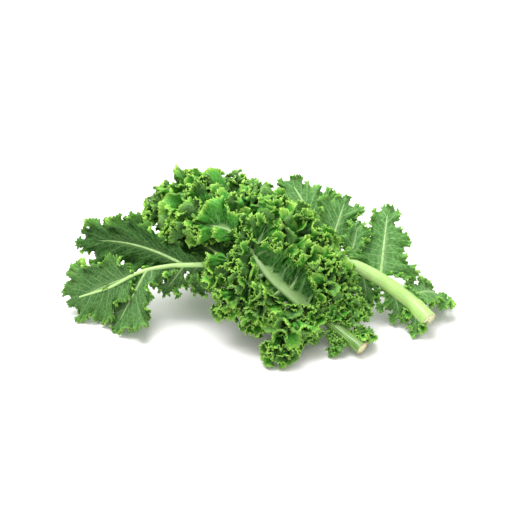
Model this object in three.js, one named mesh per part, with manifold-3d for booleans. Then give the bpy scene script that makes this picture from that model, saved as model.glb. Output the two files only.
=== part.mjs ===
// A bunch of curly kale as picked: two cut leaves lying one across the other on a table.
// The back leaf lies underside up, arched along X with its cut end at +X. The front leaf lies upper
// side up: it starts on the table at the front right, climbs over the arch and ends at the back left.
// Each leaf is a stalk whose midrib runs on to the tip, a blade half on each side of the midrib, a tip
// lobe, and loose leaflets lower down the stalk. Blades are plain lobed plates without the fine curl.
// Millimetres, +Z up, +X towards the cut end of the back leaf, +Y away from the front of the bunch.
// The origin is on the table under the middle of the bunch.
import * as THREE from "three";
import { mergeVertices } from "three/addons/utils/BufferGeometryUtils.js";
import Module from "manifold-3d";

const wasm = await Module();
wasm.setup();

// Driving sizes
const BLADE_THICKNESS = 2;
const GAP = 0.35; // clear space left between pieces that touch
const WEB_WIDTH = 9; // unbroken strip of blade beside the midrib
const RUFFLE = 4.5; // height of the waves at a lobe's edge
const RUFFLE_WAVES = 1.6; // waves along one edge of a lobe
const RUFFLE_LAG = 2; // radians by which the waves of its other edge come later
const LOBE_STEPS = 6;
const LOBE_STEPS_ACROSS = 4;
const STALK_SIDES = 10;
const STALK_STEPS = 22;
const ROOT_SHARE = 0.12; // a lobe's outline is the middle part of a half sine wave
const OUTLINE_SHARE = 0.8;
const SAME_POINT = 1e-4; // vertices nearer than this are one

const vector = (p) => new THREE.Vector3(...p);

// Materials
const finish = (color, roughness) => new THREE.MeshStandardMaterial({ color, roughness, metalness: 0 });
const stalkGreen = finish(0xb5d36a, 0.45);
const upperGreen = finish(0x3f8f2c, 0.55);
const underGreen = finish(0x6ba256, 0.6);

// Leaves. A stalk is the line of its middle from the cut end to the tip of the midrib, with its radius
// at the cut end, where the blade begins and at the tip. A lobe leaves the stalk at a share of its
// length and ends at a point, with half its greatest width and the rise of its rib above a straight
// line.
const BACK = {
  name: "back_leaf",
  green: underGreen,
  line: [
    [133, -40, 15],
    [118, -22, 22],
    [100, -12, 31],
    [80, -5, 40],
    [60, 0, 46],
    [32, -3, 51],
    [1, -9, 53],
    [-36, -15, 51],
    [-70, -10, 46],
    [-94, -10, 40],
    [-118, -12, 27],
    [-143, -10, 16],
  ],
  radii: [
    [0, 6.9],
    [0.3, 5],
    [0.6, 2.4],
    [1, 0.8],
  ],
  halves: [
    {
      side: "far",
      web: [0.37, 0.93],
      lobes: [
        { at: 0.4, tip: [14, 62, 26], half: 18, rise: 3 },
        { at: 0.49, tip: [-24, 66, -2], half: 20, rise: 20 },
        { at: 0.6, tip: [-84, 44, 46], half: 18, rise: 3 },
        { at: 0.74, tip: [-142, 40, 44], half: 21, rise: 8 },
      ],
    },
    {
      side: "near",
      web: [0.31, 0.93],
      lobes: [
        { at: 0.34, tip: [46, -14, 12], half: 16, rise: 5 },
        { at: 0.46, tip: [6, -24, 8], half: 17, rise: 6 },
        { at: 0.6, tip: [-51, -20, 20], half: 15, rise: 6 },
        { at: 0.72, tip: [-80, -16, 18], half: 15, rise: 5 },
        { at: 0.81, tip: [-115, -33, -2], half: 18, rise: 6 },
      ],
    },
  ],
  tipLobe: { at: 0.86, tip: [-152, -12, 2], half: 24, rise: 5 },
  leaflets: [
    { name: "far_1", at: 0.08, fans: [{ tip: [150.2, 2, 4], half: 18, rise: 8 }] },
    { name: "far_2", at: 0.17, fans: [{ tip: [104, 42, 68], half: 22, rise: 2 }] },
    { name: "far_3", at: 0.26, fans: [{ tip: [80, 24, 66], half: 10, rise: 2 }] },
    {
      name: "far_4",
      at: 0.32,
      fans: [
        { tip: [22, 60, 84], half: 18, rise: 6 },
        { tip: [66, 42, 79], half: 13, rise: 2 },
      ],
    },
    { name: "near_1", at: 0.06, fans: [{ tip: [124, -41, -2], half: 10, rise: 4 }] },
    { name: "near_2", at: 0.14, fans: [{ tip: [112, -26, 5], half: 14, rise: 5 }] },
    { name: "near_3", at: 0.23, fans: [{ tip: [87, -16, 12], half: 12, rise: 5 }] },
  ],
};

const FRONT = {
  name: "front_leaf",
  green: upperGreen,
  line: [
    [80, -67, 8],
    [66, -53, 12],
    [52, -40, 18],
    [32, -32, 30],
    [12, -28, 47],
    [-2, -22, 62],
    [-13, -9, 70],
    [-21, 9, 76],
    [-29, 31, 80],
    [-38, 58, 78],
  ],
  radii: [
    [0, 5.9],
    [0.3, 3.9],
    [0.6, 2.2],
    [1, 0.8],
  ],
  halves: [
    {
      side: "left",
      web: [0.19, 0.94],
      lobes: [
        { at: 0.22, tip: [30, -62, 10], half: 12, rise: 5 },
        { at: 0.3, tip: [12, -78, -2], half: 18, rise: 7 },
        { at: 0.39, tip: [-9, -56, 17], half: 17, rise: 6 },
        { at: 0.48, tip: [-31, -44, 25], half: 17, rise: 6 },
        { at: 0.57, tip: [-38, -27, 42], half: 15, rise: 5 },
        { at: 0.65, tip: [-56, -10, 54], half: 15, rise: 4 },
        { at: 0.73, tip: [-72, 10, 62], half: 16, rise: 5 },
        { at: 0.8, tip: [-90, 34, 63], half: 18, rise: 6 },
        { at: 0.89, tip: [-80, 66, 73], half: 18, rise: 6 },
      ],
    },
    {
      side: "right",
      web: [0.25, 0.94],
      lobes: [
        { at: 0.28, tip: [62, -10, 60], half: 14, rise: 3 },
        { at: 0.37, tip: [55, 6, 71], half: 16, rise: 4 },
        { at: 0.47, tip: [36, 20, 82], half: 18, rise: 5 },
        { at: 0.57, tip: [18, 30, 86], half: 17, rise: 5 },
        { at: 0.68, tip: [2, 42, 90], half: 16, rise: 5 },
        { at: 0.81, tip: [-14, 60, 91], half: 16, rise: 4 },
      ],
    },
  ],
  tipLobe: { at: 0.93, tip: [-46, 77.6, 64], half: 17, rise: 8 },
  leaflets: [
    { name: "left_1", at: 0.07, fans: [{ tip: [56, -66, -1], half: 6, rise: 3 }] },
    { name: "left_2", at: 0.13, fans: [{ tip: [47, -53, 6], half: 8, rise: 3 }] },
    { name: "right_1", at: 0.07, fans: [{ tip: [88, -54, 7], half: 7, rise: 2 }] },
    { name: "right_2", at: 0.12, fans: [{ tip: [84, -31, 18], half: 9, rise: 4 }] },
    { name: "right_3", at: 0.16, fans: [{ tip: [74, -23, 34], half: 11, rise: 4 }] },
    { name: "right_4", at: 0.21, fans: [{ tip: [69, -11, 47], half: 11, rise: 3 }] },
  ],
};

const stalkLine = (leaf) => new THREE.CatmullRomCurve3(leaf.line.map(vector), false, "centripetal");

// A value given at a few shares of a length, read between them.
function between(table, share) {
  const next = table.findIndex(([at]) => at >= share);
  if (next <= 0) return table[Math.max(next, 0)][1];
  const [before, low] = table[next - 1];
  const [after, high] = table[next];
  return THREE.MathUtils.mapLinear(share, before, after, low, high);
}

// A direction square to along, as near as it can be to wish.
const squareTo = (along, wish) => wish.clone().addScaledVector(along, -wish.dot(along)).normalize();

// Moves every vertex of a closed three.js geometry by place, and makes it a solid.
function bent(geometry, place) {
  geometry.deleteAttribute("normal");
  geometry.deleteAttribute("uv");
  const merged = mergeVertices(geometry, SAME_POINT);
  const at = merged.getAttribute("position");
  for (let i = 0; i < at.count; i++) {
    const p = place(new THREE.Vector3().fromBufferAttribute(at, i));
    at.setXYZ(i, p.x, p.y, p.z);
  }
  const mesh = { numProp: 3, vertProperties: at.array, triVerts: new Uint32Array(merged.index.array) };
  return new wasm.Manifold(new wasm.Mesh(mesh));
}

// The stalk with its midrib: a round bar that tapers from the cut end to the tip.
function stalkSolid(leaf, grow) {
  const line = stalkLine(leaf);
  const bar = new THREE.CylinderGeometry(1, 1, 1, STALK_SIDES, STALK_STEPS);
  return bent(bar, (p) => {
    const share = p.y + 0.5;
    const along = line.getTangentAt(share);
    const right = squareTo(along, new THREE.Vector3(0, 0, 1)).cross(along);
    const radius = between(leaf.radii, share) + grow;
    const end = share === 0 ? -grow : share === 1 ? grow : 0;
    return line
      .getPointAt(share)
      .addScaledVector(along, end)
      .addScaledVector(right, radius * p.x)
      .addScaledVector(right.clone().cross(along), radius * p.z);
  });
}

// A leaf lobe: a thin waved plate about a rib, widest in the middle and cupped a little.
function lobeSolid(rib, across, half, grow) {
  const plate = new THREE.BoxGeometry(1, 1, 1, LOBE_STEPS, LOBE_STEPS_ACROSS, 1);
  const length = rib.getLength();
  return bent(plate, (p) => {
    const share = p.x + 0.5;
    const side = 2 * p.y;
    const along = rib.getTangent(share);
    const out = squareTo(along, across);
    const up = along.clone().cross(out);
    const outline = Math.sin(Math.PI * (ROOT_SHARE + OUTLINE_SHARE * share));
    const phase = side > 0 ? 0 : RUFFLE_LAG;
    const wave = RUFFLE * side * side * Math.sin(2 * Math.PI * RUFFLE_WAVES * share + phase);
    const height = (wave * half) / length + p.z * (BLADE_THICKNESS + 2 * grow);
    return rib
      .getPoint(share)
      .addScaledVector(along, 2 * p.x * grow)
      .addScaledVector(out, side * (half * outline + grow))
      .addScaledVector(up, height);
  });
}

// A lobe or leaflet on a stalk: spread along the stalk beside it, or across the stalk at its end.
function fanSolid(leaf, at, fan, grow) {
  const line = stalkLine(leaf);
  const along = line.getTangentAt(at);
  const root = line.getPointAt(at);
  const tip = vector(fan.tip);
  const middle = root.clone().lerp(tip, 0.5);
  middle.z += 2 * fan.rise;
  const across = fan === leaf.tipLobe ? new THREE.Vector3(0, 0, 1).cross(along) : along;
  return lobeSolid(new THREE.QuadraticBezierCurve3(root, middle, tip), across, fan.half, grow);
}

// The strip of blade that joins the lobes of one half beside the midrib. Facing keeps its solid the
// right way out on both sides of the stalk.
function webSolid(leaf, half, grow) {
  const line = stalkLine(leaf);
  const [start, end] = half.web;
  const first = half.lobes[0];
  const last = half.lobes.at(-1);
  const outwards = (lobe) => vector(lobe.tip).sub(line.getPointAt(lobe.at)).normalize();
  const strip = new THREE.BoxGeometry(1, 1, 1, 3 * LOBE_STEPS, 1, 1);
  const facing = Math.sign(squareTo(line.getTangentAt(0.5), outwards(first)).y);
  return bent(strip, (p) => {
    const share = p.x + 0.5;
    const at = THREE.MathUtils.lerp(start, end, share);
    const along = line.getTangentAt(at);
    const out = squareTo(along, outwards(first).lerp(outwards(last), share));
    const up = along.clone().cross(out).multiplyScalar(facing);
    return line
      .getPointAt(at)
      .addScaledVector(along, 2 * p.x * grow)
      .addScaledVector(out, (p.y * facing + 0.5) * (WEB_WIDTH + grow))
      .addScaledVector(up, p.z * (BLADE_THICKNESS + 2 * grow));
  });
}

// Every piece as a function of how much it is swollen, in the order in which a piece keeps its place.
function piecesOf(leaf) {
  const pieces = [[leaf.name + "_stalk", stalkGreen, (grow) => stalkSolid(leaf, grow)]];
  for (const half of leaf.halves) {
    const lobes = (grow) => half.lobes.map((lobe) => fanSolid(leaf, lobe.at, lobe, grow));
    const whole = (grow) => lobes(grow).reduce((a, b) => a.add(b), webSolid(leaf, half, grow));
    pieces.push([leaf.name + "_blade_" + half.side, leaf.green, whole]);
  }
  const tipLobe = (grow) => fanSolid(leaf, leaf.tipLobe.at, leaf.tipLobe, grow);
  pieces.push([leaf.name + "_tip_lobe", leaf.green, tipLobe]);
  for (const leaflet of leaf.leaflets) {
    const fans = (grow) => leaflet.fans.map((fan) => fanSolid(leaf, leaflet.at, fan, grow));
    const whole = (grow) => fans(grow).reduce((a, b) => a.add(b));
    pieces.push([leaf.name + "_leaflet_" + leaflet.name, leaf.green, whole]);
  }
  return pieces;
}

// The largest body of a solid that its neighbours have cut.
const largest = (solid) => solid.decompose().reduce((a, b) => (a.volume() > b.volume() ? a : b));

function meshOf(name, material, solid) {
  const { numProp, vertProperties, triVerts } = solid.getMesh();
  const count = vertProperties.length / numProp;
  const points = new Float32Array(3 * count);
  for (let i = 0; i < count; i++) {
    points.set(vertProperties.subarray(i * numProp, i * numProp + 3), 3 * i);
  }
  const geometry = new THREE.BufferGeometry();
  geometry.setAttribute("position", new THREE.BufferAttribute(points, 3));
  geometry.setIndex(new THREE.BufferAttribute(triVerts, 1));
  geometry.computeVertexNormals();
  const mesh = new THREE.Mesh(geometry, material);
  mesh.name = name;
  return mesh;
}

// The bunch. Stalks keep their whole shape, and each later piece gives way to those before it. What
// would reach below the table is cut flat, as leaf tissue that lies on it is.
const bunch = new THREE.Group();
const order = [...piecesOf(FRONT), ...piecesOf(BACK)];
order.sort(([a], [b]) => b.endsWith("stalk") - a.endsWith("stalk"));
const swollen = [];
for (const [name, material, make] of order) {
  const cut = swollen.reduce((solid, other) => solid.subtract(other), make(0));
  const trimmed = largest(cut.trimByPlane([0, 0, 1], 0));
  bunch.add(meshOf(name, material, trimmed));
  swollen.push(make(GAP));
}

export default bunch;
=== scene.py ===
import math

import bpy
import numpy as np
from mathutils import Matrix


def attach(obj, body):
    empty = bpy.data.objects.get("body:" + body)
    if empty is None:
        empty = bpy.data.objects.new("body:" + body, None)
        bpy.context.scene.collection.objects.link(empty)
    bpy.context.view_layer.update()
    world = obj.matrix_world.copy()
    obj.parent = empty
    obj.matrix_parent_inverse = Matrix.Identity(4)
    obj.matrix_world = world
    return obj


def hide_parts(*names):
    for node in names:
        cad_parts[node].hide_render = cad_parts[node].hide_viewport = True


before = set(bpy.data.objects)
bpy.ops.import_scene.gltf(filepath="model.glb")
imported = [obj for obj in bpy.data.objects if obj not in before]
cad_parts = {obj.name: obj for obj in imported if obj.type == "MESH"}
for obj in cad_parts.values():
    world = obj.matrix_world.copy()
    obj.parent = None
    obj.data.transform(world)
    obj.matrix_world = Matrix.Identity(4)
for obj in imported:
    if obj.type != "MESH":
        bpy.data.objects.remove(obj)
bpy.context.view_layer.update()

# Back leaf's stalk. A leaf stalk of curly kale: pale yellow-green, juicy and round-backed, with fine
# lengthwise strands. It grew as one with the midrib that it runs on into, and was cut off square
# with a knife. This leaf lies underside up, so the round back is on top. Lengths are millimetres.
back_line = [
    (133, -40, 15),
    (118, -22, 22),
    (100, -12, 31),
    (80, -5, 40),
    (60, 0, 46),
    (32, -3, 51),
    (1, -9, 53),
    (-36, -15, 51),
    (-70, -10, 46),
    (-94, -10, 40),
    (-118, -12, 27),
    (-143, -10, 16),
]
back_radii = [(0, 6.9), (0.3, 5), (0.6, 2.4), (1, 0.8)]  # share of the line, and radius there


def at_share(line, shares, wanted):
    """The points of a line at the wanted shares, from the share at which each of its points is."""
    return np.stack([np.interp(wanted, shares, line[:, k]) for k in range(3)], axis=-1)


def unit(v):
    return v / np.maximum(np.linalg.norm(v, axis=-1, keepdims=True), 1e-9)


def smooth_line(points, samples=400):
    """An evenly spaced centripetal curve through the points."""
    p = np.array(points, float)
    p = np.vstack([2 * p[0] - p[1], p, 2 * p[-1] - p[-2]])
    run = []
    t = np.linspace(0, 1, 40, endpoint=False)[:, None]
    for a, b, c, d in zip(p, p[1:], p[2:], p[3:]):
        before, here, after = (np.linalg.norm(y - x) ** 0.5 for x, y in ((a, b), (b, c), (c, d)))
        start = ((b - a) / before - (c - a) / (before + here) + (c - b) / here) * here
        end = ((c - b) / here - (d - b) / (here + after) + (d - c) / after) * here
        run.append(
            (2 * t**3 - 3 * t**2 + 1) * b
            + (t**3 - 2 * t**2 + t) * start
            + (3 * t**2 - 2 * t**3) * c
            + (t**3 - t**2) * end
        )
    run = np.vstack(run + [p[-2:-1]])
    length = np.concatenate([[0], np.cumsum(np.linalg.norm(np.diff(run, axis=0), axis=1))])
    return at_share(run, length / length[-1], np.linspace(0, 1, samples))


def srgb(code):
    """A colour from its sRGB hex code, in linear light."""
    c = [int(code[i : i + 2], 16) / 255 for i in (1, 3, 5)]
    return [x / 12.92 if x <= 0.04045 else ((x + 0.055) / 1.055) ** 2.4 for x in c] + [1]


def add(tree, kind, settings=None, links=None):
    """Adds a node with its settings and links."""
    n = tree.nodes.new(kind)
    for key, value in (settings or {}).items():
        if isinstance(key, int) or key in n.inputs:
            n.inputs[key].default_value = value
        else:
            setattr(n, key, value)
    for key, source in (links or {}).items():
        tree.links.new(source, n.inputs[key])
    return n


def stalk_skin(name, foot, neck, strand):
    """Living skin of a leaf stalk, grown smooth. UV is in mm: along the stalk, and around it."""
    skin = bpy.data.materials.new(name)
    skin.use_nodes = True
    t = skin.node_tree
    t.nodes.clear()
    place = add(t, "ShaderNodeTexCoord")
    along = add(t, "ShaderNodeSeparateXYZ", links={0: place.outputs["UV"]})
    # Between 45 and 75 mm from the cut the foot's colour changes to the neck's.
    change = {"From Min": 45.0, "From Max": 75.0}
    share = add(t, "ShaderNodeMapRange", change, {"Value": along.outputs["X"]})
    tone = add(t, "ShaderNodeMix", {"data_type": "RGBA"}, {"Factor": share.outputs["Result"]})
    tone.inputs["A"].default_value = srgb(foot)
    tone.inputs["B"].default_value = srgb(neck)
    # Strands about 1 mm apart and 20 mm long, which is coarser than real ones, so that they show.
    drawn_out = add(t, "ShaderNodeMapping", {"Scale": (0.05, 1.1, 1)}, {0: place.outputs["UV"]})
    strands = add(t, "ShaderNodeTexNoise", {"Scale": 1.0, "Detail": 3.0}, {0: drawn_out.outputs[0]})
    lines = {"From Min": 0.42, "From Max": 0.62, "To Max": 0.45}
    shown = add(t, "ShaderNodeMapRange", lines, {"Value": strands.outputs["Fac"]})
    both = add(t, "ShaderNodeMix", {"data_type": "RGBA"}, {"Factor": shown.outputs["Result"]})
    t.links.new(tone.outputs["Result"], both.inputs["A"])
    both.inputs["B"].default_value = srgb(strand)
    # The wax bloom is worn in patches of about 11 mm, which are a little darker and glossier.
    bloom = add(t, "ShaderNodeTexNoise", {"Scale": 1000 / 11}, {0: place.outputs["Object"]})
    worn = {"From Min": 0.3, "From Max": 0.7, "To Min": 0.9, "To Max": 1.08}
    light = add(t, "ShaderNodeMapRange", worn, {"Value": bloom.outputs["Fac"]})
    colour = add(
        t, "ShaderNodeHueSaturation", {}, {"Color": both.outputs["Result"], "Value": light.outputs[0]}
    )
    waxy = {"From Min": 0.3, "From Max": 0.7, "To Min": 0.32, "To Max": 0.46}
    gloss = add(t, "ShaderNodeMapRange", waxy, {"Value": bloom.outputs["Fac"]})
    relief = {"Strength": 0.25, "Distance": 0.0004}
    bump = add(t, "ShaderNodeBump", relief, {"Height": strands.outputs["Fac"]})
    surface = add(
        t,
        "ShaderNodeBsdfPrincipled",
        {"Subsurface Weight": 0.15, "Subsurface Scale": 0.002},
        {
            "Base Color": colour.outputs["Color"],
            "Roughness": gloss.outputs[0],
            "Normal": bump.outputs["Normal"],
        },
    )
    surface.inputs["Subsurface Radius"].default_value = (0.8, 1.0, 0.3)
    add(t, "ShaderNodeOutputMaterial", links={"Surface": surface.outputs[0]})
    return skin


def drawn(points, radii, closed):
    """A curve drawn through points in millimetres, with a radius at each."""
    bpy.ops.curve.primitive_nurbs_path_add(location=(0, 0, 0))
    curve = bpy.context.object
    curve.data.splines.clear()
    pen = curve.data.splines.new("POLY")
    pen.points.add(len(points) - 1)
    for p, at, radius in zip(pen.points, points, radii):
        p.co = (*(0.001 * np.asarray(at)), 1)
        p.radius = radius
    pen.use_cyclic_u = closed
    return curve


def swept(line, radii, outline):
    """A closed bar: an outline of unit size drawn along a line."""
    bpy.ops.object.select_all(action="DESELECT")
    section = drawn(outline, np.ones(len(outline)), True)
    bar = drawn(line, radii, False)
    bar.data.dimensions = "3D"
    bar.data.twist_mode = "Z_UP"
    bar.data.bevel_mode = "OBJECT"
    bar.data.bevel_object = section
    bpy.ops.object.convert(target="MESH")
    bpy.data.objects.remove(section)
    bpy.ops.object.mode_set(mode="EDIT")
    bpy.ops.mesh.select_all(action="SELECT")
    bpy.ops.mesh.remove_doubles(threshold=1e-6)
    bpy.ops.mesh.fill_holes(sides=0)
    bpy.ops.mesh.select_all(action="SELECT")
    bpy.ops.mesh.normals_make_consistent(inside=False)
    bpy.ops.object.mode_set(mode="OBJECT")
    return bar


def stalk_outline(groove_side, groove):
    """Cross-section: a round back with fine ridges, and a shallow groove on the other side."""
    a = np.linspace(0, 2 * np.pi, 72, endpoint=False)
    r = 1 + 0.006 * np.cos(18 * a)
    toward = np.clip(np.sin(a) * groove_side, 0, 1)
    r = r * (1 - groove * toward**6 - 0.1 * toward)
    return np.stack([r * np.cos(a), r * np.sin(a), 0 * a], axis=1)


def make_stalk(node, line, radii, outline, skin, cut_rim, cut_face, wider=0.0, sunk=0.0):
    """A stalk and midrib. Along the blade it may be wider, and sunk in the blade by shares."""
    share = np.linspace(0, 1, len(line))[::3]
    radius = np.interp(share, *zip(*radii))
    stalk = swept(line[::3], radius, outline)
    stalk.name = "kale_" + node
    mesh = stalk.data
    places = np.array([v.co for v in mesh.vertices]) * 1000
    nearest = np.array([np.argmin(((line - p) ** 2).sum(1)) for p in places])
    at = nearest / len(line)
    ahead = unit(np.gradient(line, axis=0))[nearest]
    right = unit(np.cross(ahead, (0, 0, 1)))
    top = np.cross(right, ahead)
    sideways = ((places - line[nearest]) * right).sum(1)
    turn = np.arctan2(sideways, ((places - line[nearest]) * top).sum(1))
    # The blade starts at 0.14 of the line. By 0.3 the midrib is flattest and all the way in the blade.
    in_blade = np.clip((at - 0.14) / 0.16, 0, 1)
    flat = np.interp(at, (0.14, 0.3, 0.6), (0, 1, 0.3))
    thick = np.interp(at, *zip(*radii))
    places += right * (wider * flat * sideways)[:, None] - top * (sunk * in_blade * thick)[:, None]
    mesh.vertices.foreach_set("co", (places * 0.001).ravel())
    length = np.linalg.norm(np.diff(line, axis=0), axis=1).sum()
    uv = np.stack([at * length, turn * radii[0][1]], axis=1)
    for layer in list(mesh.uv_layers):
        mesh.uv_layers.remove(layer)
    layer = mesh.uv_layers.new(name="Stalk")
    corner = np.empty(len(mesh.loops), np.int32)
    mesh.loops.foreach_get("vertex_index", corner)
    layer.data.foreach_set("uv", uv[corner].astype(np.float32).ravel())
    for m in (skin, cut_rim, cut_face):
        mesh.materials.append(m)
    # The cut end: the edge of the skin, the dried rim, a little hollow, and the pith inside it.
    foot = min(
        (f for f in mesh.polygons if len(f.vertices) > 8),
        key=lambda f: np.linalg.norm(np.array(f.center) * 1000 - line[0]),
    )
    for part in (mesh.polygons, mesh.edges, mesh.vertices):
        part.foreach_set("select", [False] * len(part))
    foot.select = True
    bpy.ops.object.mode_set(mode="EDIT")
    for material, inset, depth in ((1, 0.0004, 0.0), (1, 0.0006, -0.0003), (2, 0.0008, 0.0002)):
        bpy.ops.mesh.inset(thickness=inset, depth=depth)
        stalk.active_material_index = material
        bpy.ops.object.material_slot_assign()
    bpy.ops.object.mode_set(mode="OBJECT")
    bpy.ops.object.shade_smooth_by_angle(angle=math.radians(50))
    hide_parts(node)
    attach(stalk, "root")
    stalk.select_set(False)


def pale_tissue(name, pale, dark, size):
    """Bare plant tissue: moist, with an uneven dull sheen and soft spots, whose size is in mm."""
    tissue = bpy.data.materials.new(name)
    tissue.use_nodes = True
    t = tissue.node_tree
    surface = t.nodes["Principled BSDF"]
    place = add(t, "ShaderNodeTexCoord")
    grain = {"Scale": 1000 / size, "Detail": 4.0}
    spots = add(t, "ShaderNodeTexNoise", grain, {0: place.outputs["Object"]})
    ramp = add(t, "ShaderNodeValToRGB", links={0: spots.outputs["Fac"]})
    low, high = ramp.color_ramp.elements
    low.position, low.color = 0.35, srgb(dark)
    high.position, high.color = 0.62, srgb(pale)
    t.links.new(ramp.outputs["Color"], surface.inputs["Base Color"])
    moist = {"To Min": 0.4, "To Max": 0.7}
    gloss = add(t, "ShaderNodeMapRange", moist, {"Value": spots.outputs["Fac"]})
    t.links.new(gloss.outputs[0], surface.inputs["Roughness"])
    return tissue


back_stalk = smooth_line(back_line)
# Pith sliced through with a knife: pale and moist, with the ends of the strands as darker spots.
pith = pale_tissue("kale_cut_pith", "#dfe3b4", "#b9bf7e", 1.2)
# The skin's cut edge, which dries first: a thin tan rim round the pith.
dried_rim = pale_tissue("kale_cut_dried_rim", "#cbb894", "#a98a66", 2.0)
# Stalk skin under a thin wax bloom: even pale green with a soft sheen, and light sinks in a little.
make_stalk(
    "back_leaf_stalk",
    back_stalk,
    back_radii,
    stalk_outline(-1, 0.08),
    stalk_skin("kale_stalk_back_smooth_skin", "#a2cb6a", "#aad07c", "#c2de9c"),
    dried_rim,
    pith,
)

# Front leaf's stalk. The same kind of stalk on the second leaf, which lies upper side up across the
# first: its upper side is flatter, with a groove, and turns whitish where it is the blade's midrib.
front_line = [
    (80, -67, 8),
    (66, -53, 12),
    (52, -40, 18),
    (32, -32, 30),
    (12, -28, 47),
    (-2, -22, 62),
    (-13, -9, 70),
    (-21, 9, 76),
    (-29, 31, 80),
    (-38, 58, 78),
]
front_radii = [(0, 5.9), (0.3, 3.9), (0.6, 2.2), (1, 0.8)]
front_stalk = smooth_line(front_line)
# The same skin, deep green at the cut end and whitish beyond, with paler strands.
make_stalk(
    "front_leaf_stalk",
    front_stalk,
    front_radii,
    stalk_outline(1, 0.12),
    stalk_skin("kale_stalk_front_whitish_midrib", "#467a04", "#9cc07c", "#c6dca4"),
    dried_rim,
    pith,
    wider=1.0,
    sunk=0.45,
)

# Back leaf's blade. Thin leaf tissue that grew out of both sides of the midrib as lobes, each with a
# rib of its own, with a broad tip lobe, and with leaflets attached one by one down the stalk. It
# lies with its matt greyish underside up.

# Outlines of half a lobe: shares of the way along its rib, and the half width there by the widest.
broad = (
    (0.1, 0.2, 0.34, 0.5, 0.68, 0.84, 0.95, 1.02, 1.06, 1.08),
    (0.6, 0.72, 0.86, 0.96, 1.0, 0.95, 0.8, 0.55, 0.27, 0.0),
)
pointed = (
    (0.0, 0.05, 0.13, 0.25, 0.4, 0.56, 0.73, 0.88, 1.0, 1.04),
    (0.1, 0.75, 1.0, 0.97, 0.82, 0.66, 0.52, 0.42, 0.26, 0.0),
)
round_lobe = (
    (0.1, 0.2, 0.34, 0.5, 0.66, 0.8, 0.91, 0.98, 1.02, 1.04),
    (0.42, 0.5, 0.78, 0.97, 1.0, 0.88, 0.66, 0.42, 0.2, 0.0),
)
# A lobe leaves the stalk at a share of its length and ends at tip. It has half its width, the rise of
# its rib over a straight line, and where needed an outline, the direction across it, and its curl
# by that of the rest. Each half of the blade has the stretch of the midrib that it is on.
back = {
    "name": "back_leaf",
    "line": back_stalk,
    "radii": back_radii,
    "halves": {
        "far": (
            (0.37, 0.93),
            [
                dict(at=0.4, tip=(14, 60, 28), half=20, rise=3),
                dict(at=0.49, tip=(-24, 64, 6), half=22, rise=20),
                dict(
                    at=0.58, tip=(-78, 38, 52), half=24, rise=4, shape=broad, across=(-6, -4.5, -5)
                ),
                dict(
                    at=0.7,
                    tip=(-140, 30, 43),
                    half=21,
                    rise=8,
                    shape=broad,
                    across=(0, 4.5, 9),
                    curl=1.7,
                ),
            ],
        ),
        "near": (
            (0.31, 0.93),
            [
                dict(at=0.34, tip=(46, -14, 12), half=17, rise=5, curl=2),
                dict(at=0.46, tip=(6, -24, 8), half=18, rise=6, curl=2),
                dict(at=0.6, tip=(-49, -17, 24), half=13, rise=0, curl=2),
                dict(at=0.7, tip=(-76, -14, 22), half=12, rise=0, curl=1.8),
                dict(
                    at=0.8, tip=(-113, -33, 3), half=25, rise=0, shape=broad, across=(-10, 1, -9)
                ),
            ],
        ),
    },
    "tip": dict(at=0.84, tip=(-150, -10, 12), half=27, rise=1, shape=broad, across=(2, 5, 8)),
    "leaflets": {
        "far_1": (0.08, [dict(tip=(150, 2, 5), half=18, rise=8, curl=2)]),
        "far_2": (0.17, [dict(tip=(104, 42, 68), half=29, rise=2, shape=pointed)]),
        "far_3": (0.26, [dict(tip=(80, 24, 66), half=12, rise=2)]),
        "far_4": (
            0.32,
            [dict(tip=(24, 58, 84), half=27, rise=6), dict(tip=(70, 41, 78), half=22, rise=2)],
        ),
        "near_1": (0.06, [dict(tip=(124, -41, 2), half=10, rise=4, curl=2)]),
        "near_2": (0.14, [dict(tip=(112, -26, 5), half=14, rise=5, curl=2)]),
        "near_3": (0.23, [dict(tip=(87, -16, 12), half=12, rise=5, curl=2)]),
    },
    # Bays between the lobes: how far from the midrib they are, and how much higher than it.
    "bays": {"depth": 20, "crest": 0},
    # Small lobes on each side of a lobe: how many, and their depth by the lobe's width.
    "side_lobes": (2.4, 0.17),
    # Rounds of growth: how much longer the margin gets, and a power that keeps it near the margin.
    "growth": ((1.22, 4), (1.22, 4.5), (1.3, 5), (1.3, 6)),
    # By the blade's width: the margin's lift, and four times the extra lift halfway to it.
    "cup": -0.05,
    "bulge": 0.1,
    # The share of the way from a rib to the margin in which the tissue is held in place.
    "kept": 0.42,
    # Grown margin to a column of the net, and how far tissue may move from the plain blade.
    "column": 1.7,
    "room": 6,
    # Height of the finest frill, by the front leaf's.
    "frill": 0.75,
}
ROWS = 10  # points of a blade's net from a rib out to the margin
chance = np.random.default_rng(7)  # seeded, so that each run lays out the same leaves


def on_line(line, share):
    """The point at a share of an evenly spaced line."""
    x = np.clip(share, 0, 1) * (len(line) - 1)
    i = min(int(x), len(line) - 2)
    return line[i] * (1 - x + i) + line[i + 1] * (x - i)


def lobe_rib(leaf, lobe, at_end):
    """The rib of a lobe, and at each of its points the direction across the lobe."""
    line, at = leaf["line"], lobe["at"]
    root, tip = on_line(line, at), np.array(lobe["tip"], float)
    middle = (root + tip) / 2 + (0, 0, 2 * lobe["rise"])
    t = np.linspace(0, 1, 60)[:, None]
    rib = (1 - t) ** 2 * root + 2 * t * (1 - t) * middle + t**2 * tip
    along = unit(np.gradient(rib, axis=0))
    side = unit(on_line(line, at + 0.01) - on_line(line, at - 0.01))
    if at_end:
        side = np.cross((0, 0, 1), side)
    if "across" in lobe:
        wish = unit(np.array(lobe["across"], float))
        side = wish * (np.sign(wish @ side) or 1)
    return rib, unit(side - along * (along @ side)[:, None])


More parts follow.
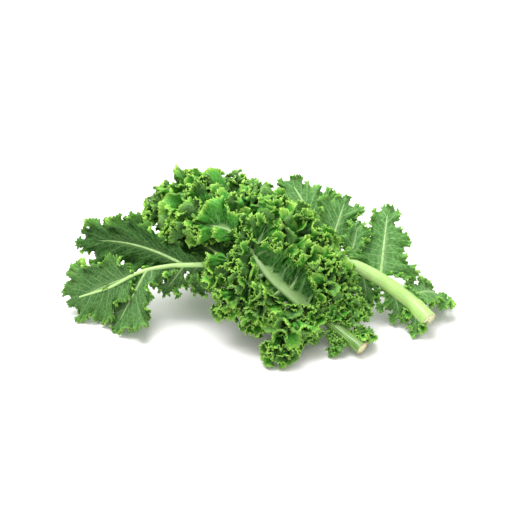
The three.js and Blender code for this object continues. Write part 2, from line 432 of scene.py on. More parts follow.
def lobe_side(rib, out, lobe, leaf, foot, sign):
    """The outline of one side of a lobe from its foot to its tip, with its own small lobes."""
    x = np.linspace(0, 1, 110)
    blur = np.ones(9) / 9
    s, w = (
        np.convolve(np.pad(np.interp(x, np.linspace(0, 1, 10), row), 4, mode="edge"), blur, "valid")
        for row in lobe.get("shape", round_lobe)
    )
    w[-1] = 0
    # At its foot a lobe is only as wide as the bays beside it leave room for.
    if foot:
        w = np.minimum(w, np.clip(foot / lobe["half"], 0.15, 1.2) + np.clip((s - 0.22) * 2.2, 0, 2))
    # The small lobes: waves in the width that also lean to and fro along the rib.
    waves, depth = leaf["side_lobes"]
    turn = 2 * np.pi * (waves * chance.uniform(0.85, 1.2) * x + chance.uniform(0, 1))
    show = depth * np.clip(np.sin(np.pi * x) * 1.6, 0, 1)
    w = w * (1 + (np.sin(turn) - 0.35) * show)
    s = s + 0.1 * np.cos(turn) * show
    share = np.clip(s, 0, 1)
    even = np.linspace(0, 1, len(rib))
    # Past the rib's end the lobe runs straight on.
    beyond = (rib[-1] - rib[-3]) / 2 * (len(rib) - 1)
    point = at_share(rib, even, share) + beyond * np.clip(s - 1, 0, 1)[:, None]
    return point + at_share(out, even, share) * (sign * lobe["half"] * w)[:, None]


def blade_edges(leaf, lobes, web, at_end):
    """Inner and outer edge of a blade, out and back along each lobe in turn, and its share of curl.

    A web is the stretch of midrib that the blade is on. A tip lobe or a leaflet has none.
    """
    line = leaf["line"]
    inner, outer, curl = [], [], []
    frames = [lobe_rib(leaf, lobe, at_end) for lobe in lobes]
    length = np.linalg.norm(np.diff(line, axis=0), axis=1).sum()
    bays = [(a["at"] + b["at"]) / 2 for a, b in zip(lobes, lobes[1:])]
    bays = [web[0], *bays, web[1]] if web else [lobes[0]["at"]] * (len(lobes) + 1)
    for n, (lobe, (rib, out)) in enumerate(zip(lobes, frames)):
        for sign in (-1, 1):
            near = bays[n + (sign > 0)]
            foot = max(abs(near - lobe["at"]) * length, 2) if web else 0
            edge = lobe_side(rib, out, lobe, leaf, foot, sign)
            x = np.linspace(0, 1, len(edge))
            # The inner edge follows the midrib for a share, and then the lobe's rib to 0.88 of it.
            share = 0.14 if web else 0.02
            on_rib = np.clip((x - share) / (1 - share), 0, 1) * 0.88
            core = at_share(rib, np.linspace(0, 1, len(rib)), on_rib)
            if web:
                on_midrib = near + (lobe["at"] - near) * np.clip(x / share, 0, 1)
                midrib = np.stack([on_line(line, m) for m in on_midrib])
                core = np.where((x < share)[:, None], midrib, core)
            # The outer edge starts in the bay, and within 0.1 of its way it is the lobe's own.
            fade = np.clip(x / 0.1, 0, 1)[:, None]
            if not web or not 0 <= n + sign < len(lobes):
                start = core
            else:
                other = frames[n + sign][0]
                sideways = unit((rib[20] - rib[0]) + (other[20] - other[0]))
                start = on_line(line, near) + leaf["bays"]["depth"] * sideways
                start = start + (0, 0, leaf["bays"]["crest"])
            edge = edge * fade + start * (1 - fade)
            order = slice(None, None, -sign)
            inner.append(core[order])
            outer.append(edge[order])
            curl.append(np.full(len(edge), lobe.get("curl", 1.0)))
    return np.vstack(inner), np.vstack(outer), np.concatenate(curl)


def laid_out(leaf):
    """Every blade of a leaf as a plain net of points, before it curls."""
    name = leaf["name"]
    blades = [(f"{name}_blade_{s}", lobes, web, False) for s, (web, lobes) in leaf["halves"].items()]
    blades.append((name + "_tip_lobe", [leaf["tip"]], None, True))
    for leaflet, (at, fans) in leaf["leaflets"].items():
        blades.append((f"{name}_leaflet_{leaflet}", [dict(f, at=at) for f in fans], None, False))
    nets = []
    for node, lobes, web, at_end in blades:
        inner, outer, curl = blade_edges(leaf, lobes, web, at_end)
        for _ in range(2):
            outer[1:-1] = outer[1:-1] * 0.5 + (outer[:-2] + outer[2:]) * 0.25
        step = np.linalg.norm(np.diff(outer, axis=0), axis=1) + 1e-6
        run = np.concatenate([[0], np.cumsum(step)])
        growth = math.prod(ratio for ratio, _ in leaf["growth"])
        # One more than a multiple of 8, because growth starts with every eighth column.
        columns = int(run[-1] * growth / leaf["column"]) // 8 * 8 + 1
        wanted = np.linspace(0, 1, columns)
        a, b = at_share(inner, run / run[-1], wanted), at_share(outer, run / run[-1], wanted)
        v = np.linspace(0, 1, ROWS)
        net = a[:, None] + (b - a)[:, None] * v[None, :, None]
        reach = np.linalg.norm(b - a, axis=1)
        up = unit(np.cross(np.gradient(b, axis=0), b - a))
        flip = np.sign((up[:, 2] * reach).sum())
        blur = np.ones(41) / 41
        up = np.stack([np.convolve(np.pad(q, 20, mode="edge"), blur, "valid") for q in up.T], 1)
        up = unit(up * flip)
        bulge = leaf["bulge"] * v * (1 - v) + leaf["cup"] * v**2
        net += up[:, None] * reach[:, None, None] * bulge[None, :, None]
        curl = np.interp(wanted, run / run[-1], curl)
        curl = np.convolve(np.pad(curl, 20, mode="edge"), blur, "valid")
        rib_share = 0.4 if at_end else 1  # the midrib's own end is in a tip lobe, so its rib is thin
        widest = max(lobe["half"] for lobe in lobes)
        nets.append(
            dict(
                node=node,
                leaf=leaf,
                ribs=[(lobe_rib(leaf, lobe, at_end)[0], lobe["half"] * rib_share) for lobe in lobes],
                plain=net.astype(np.float32),
                up=up.astype(np.float32),
                flip=flip,
                reach=reach,
                curl=curl,
                length=run[-1],
                room=min(leaf["room"], 0.6 * widest),
            )
        )
    return nets


back_nets = laid_out(back)

# Front leaf's blade. The same tissue on the leaf that lies upper side up: deep green, waxy, cut into
# many narrow lobes, with a margin so much longer than its ribs that it stands up in tight curls.
front = {
    "name": "front_leaf",
    "line": front_stalk,
    "radii": front_radii,
    "halves": {
        "left": (
            (0.19, 0.94),
            [
                dict(at=0.22, tip=(30, -62, 10), half=12, rise=5),
                dict(at=0.3, tip=(12, -78, 2), half=18, rise=7),
                dict(at=0.39, tip=(-9, -56, 17), half=17, rise=6),
                dict(at=0.48, tip=(-31, -44, 25), half=17, rise=6),
                dict(at=0.56, tip=(-40, -28, 42), half=15, rise=5),
                dict(at=0.64, tip=(-50, 2, 76), half=18, rise=6, curl=0.15),
                dict(at=0.73, tip=(-72, 10, 62), half=16, rise=5),
                dict(at=0.8, tip=(-88, 34, 63), half=17, rise=5),
                dict(at=0.89, tip=(-76, 56, 64), half=15, rise=4),
            ],
        ),
        "right": (
            (0.25, 0.94),
            [
                dict(at=0.28, tip=(62, -10, 58), half=14, rise=3),
                dict(at=0.37, tip=(55, 4, 68), half=16, rise=4),
                dict(at=0.47, tip=(36, 18, 78), half=18, rise=5),
                dict(at=0.57, tip=(18, 28, 82), half=17, rise=5),
                dict(at=0.68, tip=(2, 40, 86), half=16, rise=5),
                dict(at=0.81, tip=(-14, 54, 84), half=15, rise=4),
            ],
        ),
    },
    "tip": dict(at=0.93, tip=(-52, 70, 73), half=15, rise=5),
    "leaflets": {
        "left_1": (0.07, [dict(tip=(57, -66, 1), half=5, rise=3)]),
        "left_2": (0.13, [dict(tip=(56, -53, 7), half=4, rise=3)]),
        "right_1": (0.07, [dict(tip=(88, -54, 7), half=7, rise=2)]),
        "right_2": (0.12, [dict(tip=(84, -31, 18), half=9, rise=4)]),
        "right_3": (0.16, [dict(tip=(74, -23, 34), half=11, rise=4)]),
        "right_4": (0.21, [dict(tip=(69, -11, 47), half=11, rise=3)]),
    },
    "bays": {"depth": 10, "crest": 2},
    "side_lobes": (3.0, 0.34),
    "growth": ((1.3, 1.0), (1.75, 1.3), (1.95, 1.6), (1.75, 2.0)),
    "cup": 0.4,
    "bulge": 0.4,
    "kept": 0.3,
    "column": 3.3,
    "room": 10,
    "frill": 1.0,
}
front_nets = laid_out(front)

# The curl of both leaves. Kale curls because the margin of its blade goes on growing after the middle
# has stopped, so the nets are grown in four rounds, each with twice the columns of the one before.
# Neighbouring curls press each other apart, and the table and the stalks stay clear of them.
nets = front_nets + back_nets
v = np.linspace(0, 1, ROWS).astype(np.float32)


def wander(n, spacing, chance):
    """Random values along n columns that change over about spacing columns."""
    knots = chance.normal(size=int(n / spacing) + 4)
    x = np.arange(n) / spacing
    i = x.astype(int)
    f = (x - i) ** 2 * (3 - 2 * (x - i))
    return knots[i] * (1 - f) + knots[i + 1] * f


def twice(a):
    """Twice the columns, with each new one on a smooth curve between its neighbours."""
    p = np.concatenate([2 * a[:1] - a[1:2], a, 2 * a[-1:] - a[-2:-1]])
    out = np.empty((2 * len(a) - 1,) + a.shape[1:], a.dtype)
    out[0::2] = a
    out[1::2] = (9 * (p[1:-2] + p[2:-1]) - p[:-3] - p[3:]) / 16
    return out


def net_normal(net):
    return unit(np.cross(np.gradient(net, axis=0), np.gradient(net, axis=1)))


def pull(a, b, rest, stiff, only_apart=False):
    """How far a moves towards b, and b towards a, to be rest apart."""
    between = b - a
    gap = np.sqrt((between * between).sum(-1)) + 1e-9
    share = (gap - rest) / gap * stiff
    return between * (0.5 * (np.minimum(share, 0) if only_apart else share))[..., None]


def too_near(points, reach):
    """Pairs of points closer than reach, found in a grid of cells."""
    cell = np.floor(points / reach).astype(np.int64)
    cell -= cell.min(0) - 1
    size = cell.max(0) + 2
    key = (cell[:, 0] * size[1] + cell[:, 1]) * size[2] + cell[:, 2]
    order = np.argsort(key, kind="stable")
    key, in_order = key[order], points[order]
    next_to = (-1, 0, 1)
    around = [(x * size[1] + y) * size[2] + z for x in next_to for y in next_to for z in next_to]
    here = np.arange(len(points))
    crowd = 7  # the most points of one cell that are compared
    first, second = [], []
    for offset in (o for o in around if o >= 0):
        start = here + 1 if offset == 0 else np.searchsorted(key, key + offset)
        for q in range(crowd):
            there = np.minimum(start + q, len(points) - 1)
            ok = (start + q < len(points)) & (key[there] == key + offset)
            if not ok.any():
                break
            a, b = here[ok], there[ok]
            near = ((in_order[b] - in_order[a]) ** 2).sum(1) < reach * reach
            first.append(order[a[near]])
            second.append(order[b[near]])
    return np.concatenate(first), np.concatenate(second)


def stalk_points(leaf):
    """Rings of points just under a stalk's skin, which press the curls away."""
    share = np.linspace(0, 0.9, 130)
    middle = np.stack([on_line(leaf["line"], q) for q in share])
    radius = 0.8 * np.interp(share, *zip(*leaf["radii"]))[:, None]
    ahead = unit(np.gradient(middle, axis=0))
    right = unit(np.cross(ahead, (0, 0, 1)))
    top = np.cross(right, ahead)
    turns = np.linspace(0, 2 * np.pi, 12, endpoint=False)
    return [middle + (right * math.cos(a) + top * math.sin(a)) * radius for a in turns]


stalk_skins = np.concatenate(stalk_points(back) + stalk_points(front)).astype(np.float32)
table_and_walls = np.float32([[-160, -86, 1.0], [160, 86, 105]])
open_side = np.array([0, -0.829, 0.559])  # both midribs lie open to the front and up
# Open stretches: a leaf, shares of its line, mm that are clear to either side, and a shift in mm.
open_stretches = []
for leaf, start, end, clear, beside in (
    (front, 0.29, 0.57, 16.0, (5, 3, 0)),
    (front, 0.0, 0.16, 6.5, (0, 0, 0)),
    (back, 0.5, 0.97, 5.0, (0, 0, 0)),
    (back, 0.0, 0.3, 8.0, (0, 0, 0)),
):
    share = np.linspace(0, 1, 50)
    middle = np.stack([on_line(leaf["line"], start + (end - start) * q) + beside for q in share])
    clear = clear * np.interp(share, (0, 0.3, 0.7, 1), (0.3, 1, 1, 0.3))
    open_stretches.append((leaf, middle, clear))


def keep_midrib_open(points, middle, clear):
    """How far to move what hangs over an open stretch of midrib, to either side of it."""
    sides = np.array([(1, 0, 0), np.cross((1, 0, 0), open_side)])
    seen, seen_middle = points @ sides.T, middle @ sides.T
    k = ((seen[:, None] - seen_middle[None]) ** 2).sum(-1).argmin(1)
    away = seen - seen_middle[k]
    far = np.sqrt((away**2).sum(1)) + 1e-6
    height = ((points - middle[k]) * open_side).sum(1)
    hangs_over = 2.5  # mm above the midrib's middle, from which tissue hides it
    push = np.where(height > hangs_over, np.clip(clear[k] - far, 0, None), 0) / far
    return (away * push[:, None]) @ sides


# Each round: one of how many columns is used, its steps, and how close in mm two curls may come.
rounds = [(8, 70, 6.0), (4, 60, 4.2), (2, 50, 3.0), (1, 45, 2.2)]
wave_columns, wave_height = 2.2, 0.45  # first waves: length in columns, height by a column's width
full_waves = 16  # mm from rib to margin, from which the first waves have their full height
growing = 0.6  # the share of a round's steps in which the margin gets longer
hold_length, hold_width = 0.9, 0.8  # the share of a wrong length, or width, put right in a step
# Tissue doesn't fold flat: the least distance over 2 columns, 4 columns and 2 rows, by its length,
# and the share of what is missing that is put right in a step.
fold, wide_fold, cross_fold = 0.80, 0.55, 0.96
hold_fold, hold_wide_fold = 0.4, 0.3
hold_rib = 0.30  # how firmly the tissue beside a rib stays in place
narrow = 9  # mm from rib to margin, below which more of the columns beside a point are left alone
press, crowded = 0.4, 0.6  # share of a missing gap made up in a step, and a power that eases crowds
clear_midrib = 0.6  # the same share for what hangs over a midrib
high, weight = 95, 0.15  # mm above the table, and the share by which what is higher sinks in a step
chance = np.random.default_rng(11)
for lap, (stride, steps, reach) in enumerate(rounds):
    # The net with this round's columns, and the first waves along its margin.
    for net in nets:
        net["now"] = twice(net["now"]) if lap else net["plain"][::stride].copy()
        cols = len(net["now"])
        ratio, power = net["leaf"]["growth"][lap]
        spacing = net["length"] / (cols - 1) * ratio
        size = np.clip(net["reach"][::stride] / full_waves, 0.15, 1)
        size = size * np.minimum(net["curl"][::stride], 1)
        start = wander(cols, wave_columns, chance) * spacing * wave_height * size
        way = net_normal(net["now"]) * net["flip"] if lap else net["up"][::stride][:, None]
        net["now"] = net["now"] + (way * (start[:, None] * v**power)[..., None]).astype(np.float32)
    # All nets side by side in one, with each column's owner, and the lengths that it grows from and to.
    now = np.concatenate([net["now"] for net in nets]).astype(np.float32)
    plain = np.concatenate([net["plain"][::stride] for net in nets])
    owner = np.concatenate([np.full(len(net["now"]), n) for n, net in enumerate(nets)])
    grown = []
    for upto in (lap, lap + 1):
        parts = []
        for net in nets:
            curl = net["curl"][::stride, None]
            longer = [1 + (r - 1) * curl * v**p for r, p in net["leaf"]["growth"][:upto]]
            parts.append(math.prod(longer) * np.ones((len(curl), ROWS)))
        grown.append(np.concatenate(parts))
    room = np.concatenate([np.full(len(net["now"]), net["room"]) for net in nets])
    width = np.concatenate([net["reach"][::stride] for net in nets])
    along = np.linalg.norm(plain[1:] - plain[:-1], axis=2)
    across = np.linalg.norm(plain[:, 1:] - plain[:, :-1], axis=2)
    same = {q: (owner[q:] == owner[:-q])[:, None, None] for q in (1, 2, 4)}
    kept = np.array([net["leaf"]["kept"] for net in nets])[owner]
    hold = (hold_rib * np.clip(1 - v / kept[:, None], 0, 1))[..., None]
    hold[:, 0] = 1
    # The points that press on others: all near the margin, fewer near the ribs, none beside them.
    pressing = np.zeros(now.shape[:2], bool)
    pressing[:, ROWS // 2 :] = True
    pressing[:: max(1, 4 // stride), 2 : ROWS // 2] = True
    ids = np.flatnonzero(pressing.ravel())
    col, row = ids // ROWS, ids % ROWS
    soft = len(ids)  # points from this number on are the stalks', which don't move
    for step in range(steps):
        share = min(1.0, (step + 1) / (growing * steps))
        length = grown[0] * (1 - share) + grown[1] * share
        rest = along * 0.5 * (length[1:] + length[:-1])
        for odd in (0, 1):
            mend = pull(now[odd:-1:2], now[odd + 1 :: 2], rest[odd::2], hold_length) * same[1][odd::2]
            now[odd:-1:2] += mend
            now[odd + 1 :: 2] -= mend
        for odd in (0, 1):
            mend = pull(now[:, odd:-1:2], now[:, odd + 1 :: 2], across[:, odd::2], hold_width)
            now[:, odd:-1:2] += mend
            now[:, odd + 1 :: 2] -= mend
        mend = pull(now[:-2], now[2:], (rest[1:] + rest[:-1]) * fold, hold_fold, True) * same[2]
        now[:-2] += mend
        now[2:] -= mend
        wide = rest[3:] + rest[2:-1] + rest[1:-2] + rest[:-3]
        mend = pull(now[:-4], now[4:], wide * wide_fold, hold_wide_fold, True) * same[4]
        now[:-4] += mend
        now[4:] -= mend
        wide = across[:, 1:] + across[:, :-1]
        mend = pull(now[:, :-2], now[:, 2:], wide * cross_fold, hold_fold, True)
        now[:, :-2] += mend
        now[:, 2:] -= mend
        # Every third step, curls that are too close press each other apart.
        if step % 3 == 2:
            points = np.concatenate([now.reshape(-1, 3)[ids], stalk_skins])
            i, j = too_near(points, reach)
            keep = (i < soft) | (j < soft)
            i, j = i[keep], j[keep]
            col_i, row_i, col_j, row_j = (
                np.where(q < soft, places[np.minimum(q, soft - 1)], -1)
                for q in (i, j)
                for places in (col, row)
            )
            # Points that are the same bit of tissue are left alone.
            mine = (i < soft) & (j < soft) & (owner[col_i] == owner[col_j])
            columns_off = np.abs(col_i - col_j)
            close = mine & (columns_off <= 3) & (np.abs(row_i - row_j) <= 3)
            inside = mine & (np.minimum(row_i, row_j) < ROWS * 0.45) & (columns_off * stride < 60)
            tiny = mine & (width[col_i] < narrow) & (columns_off <= 5)
            keep = ~(close | inside | tiny)
            i, j = i[keep], j[keep]
            between = points[j] - points[i]
            gap = np.sqrt((between * between).sum(1)) + 1e-6
            push = between * (press * (reach - gap) / gap)[:, None]
            share_i = np.where(i >= soft, 0.0, np.where(j >= soft, 2.0, 1.0))
            share_j = np.where(j >= soft, 0.0, np.where(i >= soft, 2.0, 1.0))
            count = np.bincount(i, minlength=len(points)) + np.bincount(j, minlength=len(points))
            move = np.stack(
                [
                    np.bincount(j, push[:, q] * share_j, len(points))
                    - np.bincount(i, push[:, q] * share_i, len(points))
                    for q in range(3)
                ],
                axis=1,
            )
            move /= np.maximum(count, 1)[:, None] ** crowded
            flat = now.reshape(-1, 3)
            flat[ids] += move[:soft]
            for leaf, middle, clear in open_stretches:
                own = np.repeat((owner < len(front_nets)) == (leaf is front), ROWS)
                flat[own] += clear_midrib * keep_midrib_open(flat[own], middle, clear)
            now = flat.reshape(now.shape)
        # Ribs hold the blade in place. Nothing strays far from it, goes through the table or piles up.
        now += (plain - now) * hold
        off = now - plain
        far = np.linalg.norm(off, axis=2)
        now = (plain + off * np.minimum(1, room[:, None] / (far + 1e-6))[..., None]).astype(np.float32)
        now[..., 2] -= weight * np.maximum(now[..., 2] - high, 0)
        np.clip(now, *table_and_walls, out=now)
    first = 0
    for net in nets:
        net["now"] = now[first : first + len(net["now"])]
        first += len(net["now"])

# Blades of both leaves. Leaf tissue half a millimetre thick, with a waxy skin: deep green and slightly
# glossy above, paler, greyer and matt below. Pale side veins run from the ribs towards the margin,
# with a fine net of veins between them. The ribs are strands of the stalk's pale tissue.


def blade_skin(name, deep, middle, edge, vein, rough, veins_shown, paler, pale_by_rib):
    """Waxy skin of a blade. UV is in mm along the margin, and from 0 at a rib to 1 at the margin."""
    skin = bpy.data.materials.new(name)
    skin.use_nodes = True
    t = skin.node_tree
    t.nodes.clear()
    place = add(t, "ShaderNodeTexCoord")
    uv = add(t, "ShaderNodeSeparateXYZ", links={0: place.outputs["UV"]})
    body = {"Vector": place.outputs["Object"]}
    # Blotches of 17 mm and a grain of 2.4 mm, which is the puckering between the smallest veins.
    blotch = add(t, "ShaderNodeTexNoise", {"Scale": 1000 / 17, "Detail": 3.0}, body)
    fine = add(t, "ShaderNodeTexNoise", {"Scale": 1000 / 2.4, "Detail": 4.0}, body)
    # Colour from the ribs to the yellower margin, shifted by the blotches.
    uneven = {"operation": "MULTIPLY_ADD", 1: 0.3, 2: -0.15}
    shift = add(t, "ShaderNodeMath", uneven, {0: blotch.outputs["Fac"]})
    rim = add(t, "ShaderNodeMath", {"operation": "ADD"}, {0: uv.outputs["Y"], 1: shift.outputs[0]})
    ramp = add(t, "ShaderNodeValToRGB", links={0: rim.outputs[0]})
    low, high = ramp.color_ramp.elements
    low.position, low.color = 0.1, srgb(deep)
    high.position, high.color = 1.0, srgb(edge)
    ramp.color_ramp.elements.new(0.8).color = srgb(middle)
    # Side veins 8 mm apart along the margin, bent a little, which fade out on the way to it.
    spaced = add(t, "ShaderNodeMath", {"operation": "MULTIPLY", 1: 1 / 8.0}, {0: uv.outputs["X"]})
    bend = add(t, "ShaderNodeTexNoise", {"Scale": 1000 / 40, "Detail": 2.0}, body)
    moved = add(
        t, "ShaderNodeMath", {"operation": "ADD"}, {0: spaced.outputs[0], 1: bend.outputs["Fac"]}
    )
    fold = add(t, "ShaderNodeMath", {"operation": "PINGPONG", 1: 0.5}, {0: moved.outputs[0]})
    thin = {"From Min": 0.0, "From Max": 0.08, "To Min": 1.0, "To Max": 0.0}
    line = add(t, "ShaderNodeMapRange", thin, {"Value": fold.outputs[0]})
    out = {"From Min": 0.35, "From Max": 0.9, "To Min": 1.0, "To Max": 0.0}
    fade = add(t, "ShaderNodeMapRange", out, {"Value": uv.outputs["Y"]})
    side = add(t, "ShaderNodeMath", {"operation": "MULTIPLY"}, {0: line.outputs[0], 1: fade.outputs[0]})
    by_rib = {"From Min": 0.02, "From Max": 0.17, "To Min": pale_by_rib, "To Max": 0.0}
    pale = add(t, "ShaderNodeMapRange", by_rib, {"Value": uv.outputs["Y"]})
    both = add(t, "ShaderNodeMath", {"operation": "MAXIMUM"}, {0: side.outputs[0], 1: pale.outputs[0]})
    # The fine net of veins, with meshes of 3 mm: real ones are finer, and wouldn't show.
    cells = {"feature": "DISTANCE_TO_EDGE", "Scale": 1000 / 3}
    mesh_of_veins = add(t, "ShaderNodeTexVoronoi", cells, body)
    faint = {"From Min": 0.0, "From Max": 0.12, "To Min": 0.4, "To Max": 0.0}
    small = add(t, "ShaderNodeMapRange", faint, {"Value": mesh_of_veins.outputs["Distance"]})
    veins = add(t, "ShaderNodeMath", {"operation": "MAXIMUM"}, {0: both.outputs[0], 1: small.outputs[0]})
    shown = add(t, "ShaderNodeMath", {"operation": "MULTIPLY", 1: veins_shown}, {0: veins.outputs[0]})
    veined = add(t, "ShaderNodeMix", {"data_type": "RGBA"}, {"Factor": shown.outputs[0]})
    t.links.new(ramp.outputs["Color"], veined.inputs["A"])
    veined.inputs["B"].default_value = srgb(vein)
    # The side towards the cut ends, x from -30 to 90 mm, may be paler than the other.
    where = add(t, "ShaderNodeSeparateXYZ", links={0: place.outputs["Object"]})
    toward_cut_ends = {"From Min": -0.03, "From Max": 0.09, "To Min": 1.0, "To Max": paler}
    paling_by_x = add(t, "ShaderNodeMapRange", toward_cut_ends, {"Value": where.outputs["X"]})
    patchy = {"From Min": 0.3, "From Max": 0.7, "To Min": 0.82, "To Max": 1.18}
    vary = add(t, "ShaderNodeMapRange", patchy, {"Value": fine.outputs["Fac"]})
    value = add(t, "ShaderNodeMath", {"operation": "MULTIPLY"}, {0: paling_by_x.outputs[0], 1: vary.outputs[0]})
    colour = add(
        t, "ShaderNodeHueSaturation", {}, {"Color": veined.outputs["Result"], "Value": value.outputs[0]}
    )
    waxy = {"From Min": 0.3, "From Max": 0.7, "To Min": rough - 0.07, "To Max": rough + 0.07}
    gloss = add(t, "ShaderNodeMapRange", waxy, {"Value": blotch.outputs["Fac"]})
    raised = {"operation": "MULTIPLY_ADD", 1: 0.6}
    height = add(t, "ShaderNodeMath", raised, {0: veins.outputs[0], 2: fine.outputs["Fac"]})
    bump = add(
        t, "ShaderNodeBump", {"Strength": 0.35, "Distance": 0.0006}, {"Height": height.outputs[0]}
    )
    surface = add(
        t,
        "ShaderNodeBsdfPrincipled",
        {"Specular IOR Level": 0.18},
        {
            "Base Color": colour.outputs["Color"],
            "Roughness": gloss.outputs[0],
            "Normal": bump.outputs["Normal"],
        },
    )
    surface.inputs["Subsurface Weight"].default_value = 0.12
    surface.inputs["Subsurface Scale"].default_value = 0.0015
    surface.inputs["Subsurface Radius"].default_value = (0.5, 1.0, 0.15)
    add(t, "ShaderNodeOutputMaterial", links={"Surface": surface.outputs[0]})
    return skin


# Upper side: a waxy cuticle over deep green, with a low satin sheen on the crests of the curls.
upper = blade_skin(
    "kale_blade_waxy_upper_side",
    deep="#0c4604",
    middle="#3c8a20",
    edge="#94c24e",
    vein="#acd488",
    rough=0.48,
    veins_shown=0.45,
    paler=1.0,
    pale_by_rib=2.0,
)
# Underside: thinner wax over greyer tissue, so it looks matt and soft, with its veins showing more.
under = blade_skin(
    "kale_blade_matt_underside",
    deep="#38622c",
    middle="#3e6a2a",
    edge="#608f3a",
    vein="#90b076",
    rough=0.6,
    veins_shown=0.6,
    paler=1.5,
    pale_by_rib=0.8,
)
# The same, darker, on the far half: painted shade, for a half that lies shaded and turned away from the
# lamp.
under_far_painted_shade = blade_skin(
    "kale_blade_matt_underside_painted_shade",
    deep="#1e4614",
    middle="#265616",
    edge="#50822c",
    vein="#7ca05c",
    rough=0.6,
    veins_shown=0.6,
    paler=1.3,
    pale_by_rib=0.8,
)
# Ribs: the stalk's tissue under its thin skin, pale and dull beside the green of the blade.
rib_skin = pale_tissue("kale_rib_pale_tissue", "#a6c684", "#86b262", 3.0)


def blade_mesh(net):
    """The grown net as faces: finer towards the margin, with the smallest frill and its teeth."""
    grid = net["now"].copy()
    grid[1:-1, 3:] = grid[1:-1, 3:] * 0.6 + 0.2 * (grid[:-2, 3:] + grid[2:, 3:])
    fine = twice(twice(grid))
    half_rows = twice(fine[:, ROWS // 2 :].transpose(1, 0, 2)).transpose(1, 0, 2)
    from_rib = np.linspace((ROWS // 2) / (ROWS - 1), 1, half_rows.shape[1])
    cols = len(fine)
    normal = net_normal(half_rows) * net["flip"]
    step = np.linalg.norm(np.diff(half_rows[:, -1], axis=0), axis=1)
    run = np.concatenate([[0], np.cumsum(step)])
    frill_length, frill_height, tooth_height = 3.6, 1.05, 0.8  # mm
    turn = 2 * np.pi * run / frill_length + 2.2 * wander(cols, 18, chance)
    size = np.clip(1.0 + 0.4 * wander(cols, 22, chance), 0.2, 2) * net["leaf"]["frill"]
    rising = np.clip((from_rib - 0.7) / 0.3, 0, 1) ** 1.5
    lift = frill_height * size * np.sin(turn)
    half_rows = half_rows + normal * lift[:, None, None] * rising[:, None]
    tooth = 0.8 * np.sin(turn * 1.37) + 0.5 * wander(cols, 5, chance)
    half_rows[:, -1] += unit(half_rows[:, -1] - half_rows[:, -3]) * (tooth_height * tooth)[:, None]
    # Rows from the rib out: their points, one of how many columns is used, and the way to the margin.
    rows = [(fine[:, r], 16, r / (ROWS - 1)) for r in (0, 1, 2)]
    rows += [(fine[:, r], 8, r / (ROWS - 1)) for r in (3, 4)]
    shown = ((0, 4), (2, 4), (4, 2), (6, 2), (7, 1), (8, 1))
    rows += [(half_rows[:, r], s, from_rib[r]) for r, s in shown]
    along = np.linspace(0, net["length"], cols)
    verts, uvs, starts = [], [], [0]
    for points, stride, share in rows:
        verts.append(points[::stride])
        uvs.append([(x, share) for x in along[::stride]])
        starts.append(starts[-1] + len(verts[-1]))
    faces = []
    for (_, s, _), (_, t, _), a, b in zip(rows, rows[1:], starts, starts[1:]):
        k, q = np.arange((cols - 1) // s), s // t
        ring = np.stack([a + k + 1, a + k] + [b + k * q + m for m in range(q + 1)], 1)
        faces += (ring[:, ::-1] if net["flip"] > 0 else ring).tolist()
    verts = np.vstack(verts)
    above_table = 0.6  # mm, so that the wall and the frill stay clear of it
    verts[:, 2] = np.maximum(verts[:, 2], above_table)
    return verts * 0.001, faces, np.vstack(uvs)


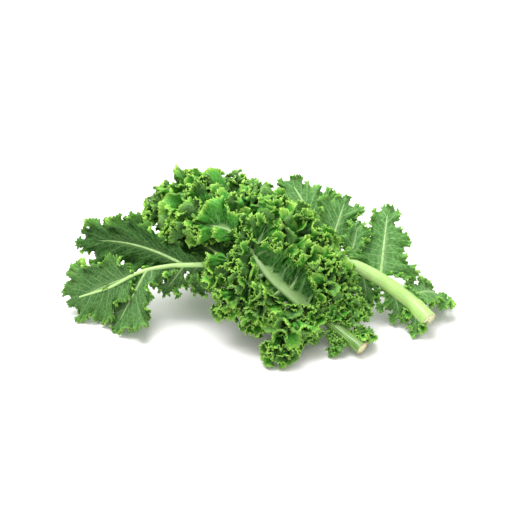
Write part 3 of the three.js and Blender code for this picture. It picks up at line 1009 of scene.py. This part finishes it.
def make_blade(net, skins):
    """One blade: its curled tissue with a wall, and the rib of each lobe drawn along it."""
    verts, faces, uvs = blade_mesh(net)
    mesh = bpy.data.meshes.new(net["node"])
    mesh.from_pydata(verts.tolist(), [], faces)
    layer = mesh.uv_layers.new(name="Leaf")
    corner = np.empty(len(mesh.loops), np.int32)
    mesh.loops.foreach_get("vertex_index", corner)
    layer.data.foreach_set("uv", uvs[corner].astype(np.float32).ravel())
    for m in (*skins, rib_skin):
        mesh.materials.append(m)
    blade = bpy.data.objects.new("kale_" + net["node"], mesh)
    bpy.context.collection.objects.link(blade)
    wall = blade.modifiers.new("wall", "SOLIDIFY")
    wall.thickness = 0.0005
    wall.offset = 0
    wall.material_offset = 1
    wall.material_offset_rim = 0
    bpy.context.view_layer.objects.active = blade
    bpy.ops.object.modifier_apply(modifier="wall")
    turns = np.linspace(0, 2 * np.pi, 8, endpoint=False)
    circle = np.stack([np.cos(turns), np.sin(turns), 0 * turns], axis=1)
    # A rib is drawn up to 0.86 of its way. Its radius tapers from a fifteenth of the lobe's half width.
    ribs = []
    for line, half in net["ribs"]:
        line = line[:52:3]
        rib = swept(line, half / 20 * np.linspace(1.3, 0.3, len(line)), circle)
        for layer in list(rib.data.uv_layers):
            rib.data.uv_layers.remove(layer)
        for m in (*skins, rib_skin):
            rib.data.materials.append(m)
        rib.data.polygons.foreach_set("material_index", [2] * len(rib.data.polygons))
        ribs.append(rib)
    bpy.ops.object.select_all(action="DESELECT")
    for part in (*ribs, blade):
        part.select_set(True)
    bpy.context.view_layer.objects.active = blade
    bpy.ops.object.join()
    bpy.ops.object.shade_smooth()
    blade.select_set(False)
    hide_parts(net["node"])
    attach(blade, "root")


for net in front_nets:
    make_blade(net, (upper, under))
for net in back_nets:
    # The back leaf's far half gets the darker copy, whose extra darkness is painted shade.
    below = under_far_painted_shade if net["node"].endswith("blade_far") else under
    make_blade(net, (below, upper))

# Where the bunch lies. A plain white table top in a light room, under one broad soft lamp that hangs
# behind and to the left. It is seen straight from the front, from 34 degrees above the table.
# White laminate, pressed smooth and matt: it shows nothing but the soft shadow.
table = bpy.data.materials.new("white_table_top")
table.use_nodes = True
table.node_tree.nodes["Principled BSDF"].inputs["Base Color"].default_value = srgb("#f6f3f3")
table.node_tree.nodes["Principled BSDF"].inputs["Roughness"].default_value = 0.8
bpy.ops.mesh.primitive_plane_add(size=8, location=(0, 0, 0))
floor = bpy.context.object
floor.name = "table_top"
floor.data.materials.append(table)
world = bpy.data.worlds.new("soft_room")
bpy.context.scene.world = world
world.use_nodes = True
world.node_tree.nodes["Background"].inputs[0].default_value = (1, 1, 1, 1)
world.node_tree.nodes["Background"].inputs[1].default_value = 0.95
aside, up = 0.35, 1.3  # metres
lean = math.atan2(aside, up)
bpy.ops.object.light_add(type="AREA", location=(-aside, aside, up))
lamp = bpy.context.object
lamp.data.size = 1.1
lamp.data.energy = 31
lamp.rotation_euler = (-lean, -lean, 0)
bpy.context.scene.view_settings.view_transform = "Standard"

tilt = math.radians(34)
distance = 1.5
middle = (-0.0024, 0.013, 0.040)  # what the camera looks at
bpy.ops.object.camera_add()
camera = bpy.context.object
camera.location = (
    middle[0],
    middle[1] - distance * math.cos(tilt),
    middle[2] + distance * math.sin(tilt),
)
camera.rotation_euler = (math.pi / 2 - tilt, 0, 0)
camera.data.sensor_width = 36
camera.data.lens = 131.8  # the picture is then about 410 mm wide at the bunch
bpy.context.scene.camera = camera
